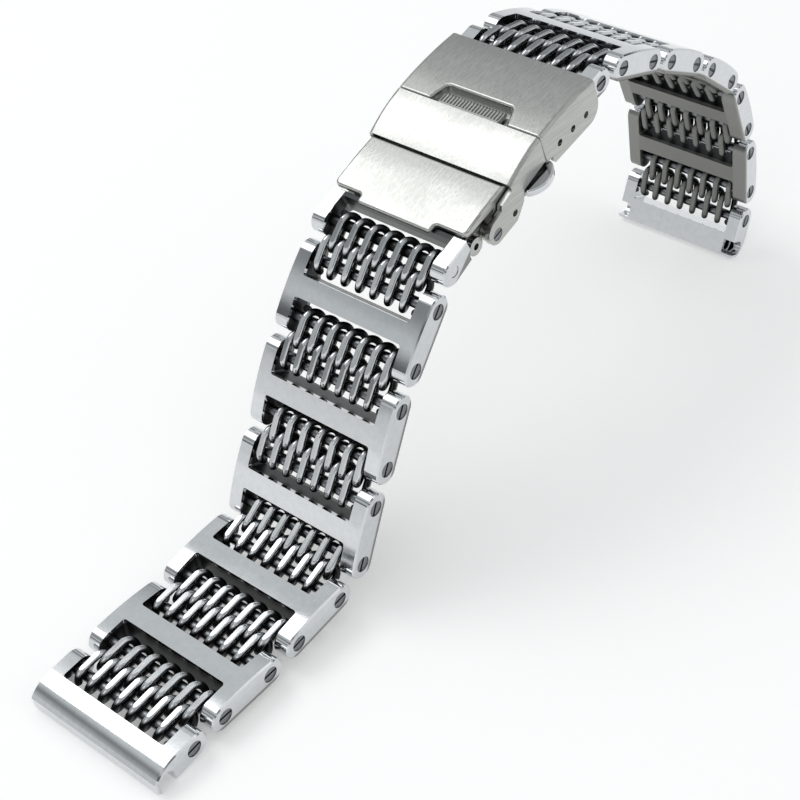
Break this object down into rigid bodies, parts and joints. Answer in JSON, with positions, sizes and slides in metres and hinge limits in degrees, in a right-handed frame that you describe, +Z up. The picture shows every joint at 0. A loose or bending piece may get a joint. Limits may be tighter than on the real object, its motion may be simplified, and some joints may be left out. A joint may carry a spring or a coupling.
{
  "type": "mesh watch bracelet",
  "caption": "Steel watch bracelet of wire mesh rows hooked between H-shaped screwed frames, with a folding clasp, flip lock and push buttons, standing in an arch.",
  "frame": {"origin": "centre of the standing bracelet's footprint, on the floor", "axes": "+Z up, +Y along the bracelet from its front end to its curled rear end, +X across it"},
  "size_m": [0.0266, 0.137, 0.0545],
  "materials": {
    "polished_steel": "mirror-polished stainless steel",
    "brushed_steel": "brushed stainless steel with polished edges",
    "mesh_steel": "drawn steel wire, ground flat and polished on its outer strands",
    "pin_steel": "turned steel"
  },
  "bodies": {
    "clasp": {"clasp_cover": "brushed_steel", "cover_pins": "pin_steel", "rear_spring_bar": "pin_steel"},
    "lock": {"flip_lock": "brushed_steel"},
    "right_push_button": {"right_button": "polished_steel"},
    "left_push_button": {"left_button": "polished_steel"},
    "blade_middle": {"middle_blade": "polished_steel"},
    "blade_lower": {"lower_blade": "polished_steel", "lower_blade_pins": "pin_steel"},
    "front_half": {"front_half_link": "polished_steel"},
    "front_row_1a": {"front_row_1a": "mesh_steel"},
    "front_row_1b": {"front_row_1b": "mesh_steel"},
    "front_frame_1": {"front_link_1": "polished_steel", "front_screws_1": "pin_steel"},
    "front_row_2a": {"front_row_2a": "mesh_steel"},
    "front_row_2b": {"front_row_2b": "mesh_steel"},
    "front_frame_2": {"front_link_2": "polished_steel", "front_screws_2": "pin_steel"},
    "front_row_3a": {"front_row_3a": "mesh_steel"},
    "front_row_3b": {"front_row_3b": "mesh_steel"},
    "front_frame_3": {"front_link_3": "polished_steel", "front_screws_3": "pin_steel"},
    "front_row_4a": {"front_row_4a": "mesh_steel"},
    "front_row_4b": {"front_row_4b": "mesh_steel"},
    "front_frame_4": {"front_link_4": "polished_steel", "front_screws_4": "pin_steel"},
    "front_row_5a": {"front_row_5a": "mesh_steel"},
    "front_row_5b": {"front_row_5b": "mesh_steel"},
    "front_frame_5": {"front_link_5": "polished_steel", "front_screws_5": "pin_steel"},
    "front_row_6a": {"front_row_6a": "mesh_steel"},
    "front_row_6b": {"front_row_6b": "mesh_steel"},
    "front_end": {"front_end_link": "polished_steel", "front_end_screw": "pin_steel"},
    "rear_half": {"rear_half_link": "polished_steel", "rear_half_screw": "pin_steel"},
    "rear_row_1a": {"rear_row_1a": "mesh_steel"},
    "rear_row_1b": {"rear_row_1b": "mesh_steel"},
    "rear_frame_1": {"rear_link_1": "polished_steel", "rear_screws_1": "pin_steel"},
    "rear_row_2a": {"rear_row_2a": "mesh_steel"},
    "rear_row_2b": {"rear_row_2b": "mesh_steel"},
    "rear_frame_2": {"rear_link_2": "polished_steel", "rear_screws_2": "pin_steel"},
    "rear_row_3a": {"rear_row_3a": "mesh_steel"},
    "rear_row_3b": {"rear_row_3b": "mesh_steel"},
    "rear_frame_3": {"rear_link_3": "polished_steel", "rear_screws_3": "pin_steel"},
    "rear_row_4a": {"rear_row_4a": "mesh_steel"},
    "rear_row_4b": {"rear_row_4b": "mesh_steel"},
    "rear_frame_4": {"rear_link_4": "polished_steel", "rear_screws_4": "pin_steel"},
    "rear_row_5a": {"rear_row_5a": "mesh_steel"},
    "rear_row_5b": {"rear_row_5b": "mesh_steel"},
    "rear_frame_5": {"rear_link_5": "polished_steel", "rear_screws_5": "pin_steel"},
    "rear_row_6a": {"rear_row_6a": "mesh_steel"},
    "rear_row_6b": {"rear_row_6b": "mesh_steel"},
    "rear_end": {"rear_end_link": "polished_steel", "rear_end_screw": "pin_steel"}
  },
  "joints": [
    {"name": "lock_hinge", "type": "hinge", "parent": "clasp", "child": "lock", "pos_m": [0, -0.0017, 0.04216], "axis": [1, 0, 0], "range_deg": [0, 90]},
    {"name": "right_button_slide", "type": "slide", "parent": "clasp", "child": "right_push_button", "axis": [-1, 0, 0], "range_m": [0, 0.0009], "stiffness_N_per_m": 400, "springref_m": -0.0015},
    {"name": "left_button_slide", "type": "slide", "parent": "clasp", "child": "left_push_button", "axis": [1, 0, 0], "range_m": [0, 0.0009], "stiffness_N_per_m": 400, "springref_m": -0.0015},
    {"name": "cover_hinge", "type": "hinge", "parent": "clasp", "child": "blade_middle", "pos_m": [0, 0.00046, 0.04495], "axis": [-1, 0, 0], "range_deg": [0, 150]},
    {"name": "blade_hinge", "type": "hinge", "parent": "blade_middle", "child": "blade_lower", "pos_m": [0, 0.01346, 0.04896], "axis": [-1, 0, 0], "range_deg": [-150, 0]},
    {"name": "front_strap_hinge", "type": "hinge", "parent": "blade_lower", "child": "front_half", "pos_m": [0, -0.00498, 0.04175], "axis": [1, 0, 0], "range_deg": [0, 30]},
    {"name": "front_rod_1a", "type": "hinge", "parent": "front_half", "child": "front_row_1a", "pos_m": [0, -0.00989, 0.04095], "axis": [1, 0, 0], "range_deg": [-14, 14]},
    {"name": "front_hook_1", "type": "hinge", "parent": "front_row_1a", "child": "front_row_1b", "pos_m": [0, -0.01178, 0.03902], "axis": [1, 0, 0], "range_deg": [-19, 5]},
    {"name": "front_rod_1b", "type": "hinge", "parent": "front_row_1b", "child": "front_frame_1", "pos_m": [0, -0.01342, 0.03688], "axis": [1, 0, 0], "range_deg": [-14, 14]},
    {"name": "front_rod_2a", "type": "hinge", "parent": "front_frame_1", "child": "front_row_2a", "pos_m": [0, -0.01833, 0.03069], "axis": [1, 0, 0], "range_deg": [-14, 14]},
    {"name": "front_hook_2", "type": "hinge", "parent": "front_row_2a", "child": "front_row_2b", "pos_m": [0, -0.01993, 0.02851], "axis": [1, 0, 0], "range_deg": [-16, 8]},
    {"name": "front_rod_2b", "type": "hinge", "parent": "front_row_2b", "child": "front_frame_2", "pos_m": [0, -0.02138, 0.02623], "axis": [1, 0, 0], "range_deg": [-14, 14]},
    {"name": "front_rod_3a", "type": "hinge", "parent": "front_frame_2", "child": "front_row_3a", "pos_m": [0, -0.02489, 0.01916], "axis": [1, 0, 0], "range_deg": [-14, 14]},
    {"name": "front_hook_3", "type": "hinge", "parent": "front_row_3a", "child": "front_row_3b", "pos_m": [0, -0.02617, 0.01678], "axis": [1, 0, 0], "range_deg": [-9, 15]},
    {"name": "front_rod_3b", "type": "hinge", "parent": "front_row_3b", "child": "front_frame_3", "pos_m": [0, -0.02758, 0.01448], "axis": [1, 0, 0], "range_deg": [-14, 14]},
    {"name": "front_rod_4a", "type": "hinge", "parent": "front_frame_3", "child": "front_row_4a", "pos_m": [0, -0.03085, 0.00728], "axis": [1, 0, 0], "range_deg": [-3, 30]},
    {"name": "front_hook_4", "type": "hinge", "parent": "front_row_4a", "child": "front_row_4b", "pos_m": [0, -0.03309, 0.00579], "axis": [1, 0, 0], "range_deg": [0, 24]},
    {"name": "front_rod_4b", "type": "hinge", "parent": "front_row_4b", "child": "front_frame_4", "pos_m": [0, -0.03561, 0.0048], "axis": [1, 0, 0], "range_deg": [-14, 14]},
    {"name": "front_rod_5a", "type": "hinge", "parent": "front_frame_4", "child": "front_row_5a", "pos_m": [0, -0.04345, 0.00389], "axis": [1, 0, 0], "range_deg": [-14, 14]},
    {"name": "front_hook_5", "type": "hinge", "parent": "front_row_5a", "child": "front_row_5b", "pos_m": [0, -0.04612, 0.00349], "axis": [1, 0, 0], "range_deg": [-11, 13]},
    {"name": "front_rod_5b", "type": "hinge", "parent": "front_row_5b", "child": "front_frame_5", "pos_m": [0, -0.0488, 0.00313], "axis": [1, 0, 0], "range_deg": [-14, 14]},
    {"name": "front_rod_6a", "type": "hinge", "parent": "front_frame_5", "child": "front_row_6a", "pos_m": [0, -0.0567, 0.00305], "axis": [1, 0, 0], "range_deg": [-14, 14]},
    {"name": "front_hook_6", "type": "hinge", "parent": "front_row_6a", "child": "front_row_6b", "pos_m": [0, -0.05939, 0.00283], "axis": [1, 0, 0], "range_deg": [-14, 10]},
    {"name": "front_rod_6b", "type": "hinge", "parent": "front_row_6b", "child": "front_end", "pos_m": [0, -0.06207, 0.00252], "axis": [1, 0, 0], "range_deg": [-14, 14]},
    {"name": "rear_strap_hinge", "type": "hinge", "parent": "clasp", "child": "rear_half", "pos_m": [0, 0.01774, 0.05001], "axis": [1, 0, 0], "range_deg": [-20, 4]},
    {"name": "rear_rod_1a", "type": "hinge", "parent": "rear_half", "child": "rear_row_1a", "pos_m": [0, 0.0221, 0.05241], "axis": [1, 0, 0], "range_deg": [-9, 14]},
    {"name": "rear_hook_1", "type": "hinge", "parent": "rear_row_1a", "child": "rear_row_1b", "pos_m": [0, 0.02479, 0.05254], "axis": [1, 0, 0], "range_deg": [-2, 22]},
    {"name": "rear_rod_1b", "type": "hinge", "parent": "rear_row_1b", "child": "rear_frame_1", "pos_m": [0, 0.02747, 0.05219], "axis": [1, 0, 0], "range_deg": [-9, 14]},
    {"name": "rear_rod_2a", "type": "hinge", "parent": "rear_frame_1", "child": "rear_row_2a", "pos_m": [0, 0.03497, 0.04969], "axis": [1, 0, 0], "range_deg": [-9, 14]},
    {"name": "rear_hook_2", "type": "hinge", "parent": "rear_row_2a", "child": "rear_row_2b", "pos_m": [0, 0.03745, 0.04862], "axis": [1, 0, 0], "range_deg": [-9, 15]},
    {"name": "rear_rod_2b", "type": "hinge", "parent": "rear_row_2b", "child": "rear_frame_2", "pos_m": [0, 0.03986, 0.04742], "axis": [1, 0, 0], "range_deg": [-9, 14]},
    {"name": "rear_rod_3a", "type": "hinge", "parent": "rear_frame_2", "child": "rear_row_3a", "pos_m": [0, 0.04688, 0.04378], "axis": [1, 0, 0], "range_deg": [-9, 14]},
    {"name": "rear_hook_3", "type": "hinge", "parent": "rear_row_3a", "child": "rear_row_3b", "pos_m": [0, 0.04918, 0.04238], "axis": [1, 0, 0], "range_deg": [-8, 16]},
    {"name": "rear_rod_3b", "type": "hinge", "parent": "rear_row_3b", "child": "rear_frame_3", "pos_m": [0, 0.05138, 0.04081], "axis": [1, 0, 0], "range_deg": [-9, 14]},
    {"name": "rear_rod_4a", "type": "hinge", "parent": "rear_frame_3", "child": "rear_row_4a", "pos_m": [0, 0.05757, 0.03591], "axis": [1, 0, 0], "range_deg": [-9, 14]},
    {"name": "rear_hook_4", "type": "hinge", "parent": "rear_row_4a", "child": "rear_row_4b", "pos_m": [0, 0.05937, 0.03389], "axis": [1, 0, 0], "range_deg": [-3, 21]},
    {"name": "rear_rod_4b", "type": "hinge", "parent": "rear_row_4b", "child": "rear_frame_4", "pos_m": [0, 0.06082, 0.03161], "axis": [1, 0, 0], "range_deg": [-9, 14]},
    {"name": "rear_rod_5a", "type": "hinge", "parent": "rear_frame_4", "child": "rear_row_5a", "pos_m": [0, 0.06405, 0.0244], "axis": [1, 0, 0], "range_deg": [-9, 14]},
    {"name": "rear_hook_5", "type": "hinge", "parent": "rear_row_5a", "child": "rear_row_5b", "pos_m": [0, 0.06491, 0.02184], "axis": [1, 0, 0], "range_deg": [-7, 17]},
    {"name": "rear_rod_5b", "type": "hinge", "parent": "rear_row_5b", "child": "rear_frame_5", "pos_m": [0, 0.06554, 0.01922], "axis": [1, 0, 0], "range_deg": [-9, 14]},
    {"name": "rear_rod_6a", "type": "hinge", "parent": "rear_frame_5", "child": "rear_row_6a", "pos_m": [0, 0.06659, 0.01139], "axis": [1, 0, 0], "range_deg": [-9, 14]},
    {"name": "rear_hook_6", "type": "hinge", "parent": "rear_row_6a", "child": "rear_row_6b", "pos_m": [0, 0.06638, 0.00869], "axis": [1, 0, 0], "range_deg": [-3, 21]},
    {"name": "rear_rod_6b", "type": "hinge", "parent": "rear_row_6b", "child": "rear_end", "pos_m": [0, 0.06575, 0.00607], "axis": [1, 0, 0], "range_deg": [-9, 14]}
  ],
  "couplings": [
    {"joint": "blade_hinge", "follows": "cover_hinge", "ratio": -1}
  ]
}
